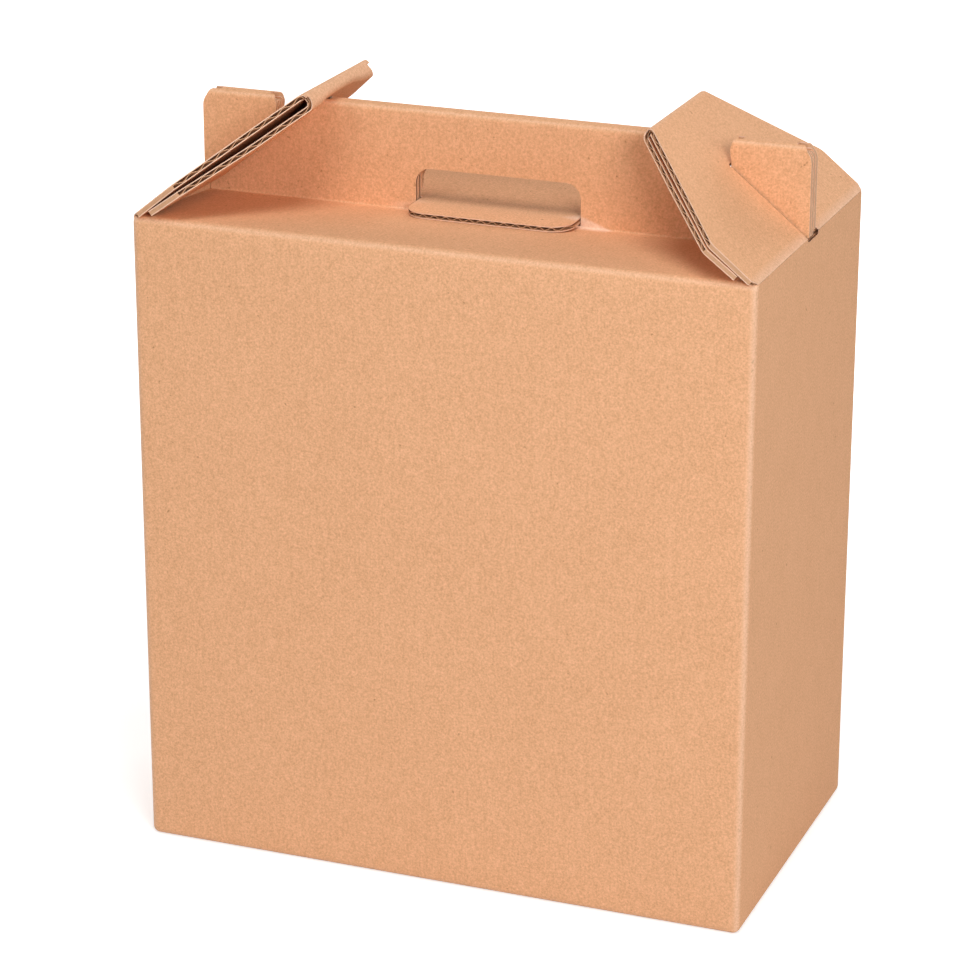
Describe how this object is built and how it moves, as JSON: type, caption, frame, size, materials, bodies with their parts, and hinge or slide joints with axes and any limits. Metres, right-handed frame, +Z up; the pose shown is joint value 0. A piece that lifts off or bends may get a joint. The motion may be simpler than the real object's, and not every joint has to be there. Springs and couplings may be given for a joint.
{
  "type": "wine box",
  "caption": "Tall gable-top carrying carton of brown corrugated board, with slotted gable flaps hooked over a folded handle with a hand hole.",
  "frame": {"origin": "middle of the base, on the surface that the box stands on", "axes": "+Z up the walls, X across the front wall and along the handle, front wall facing -Y"},
  "size_m": [0.34, 0.194, 0.4128],
  "materials": {
    "kraft_board": "matt uncoated brown kraft liner, slightly mottled"
  },
  "bodies": {
    "carton": {"carton": "kraft_board"},
    "left_flap": {"left_gable_flap": "kraft_board"},
    "right_flap": {"right_gable_flap": "kraft_board"}
  },
  "joints": [
    {"name": "left_flap_hinge", "type": "hinge", "parent": "carton", "child": "left_flap", "pos_m": [-0.17, 0, 0.354], "axis": [0, -1, 0], "range_deg": [0, 220]},
    {"name": "right_flap_hinge", "type": "hinge", "parent": "carton", "child": "right_flap", "pos_m": [0.17, 0, 0.354], "axis": [0, 1, 0], "range_deg": [0, 220]}
  ]
}
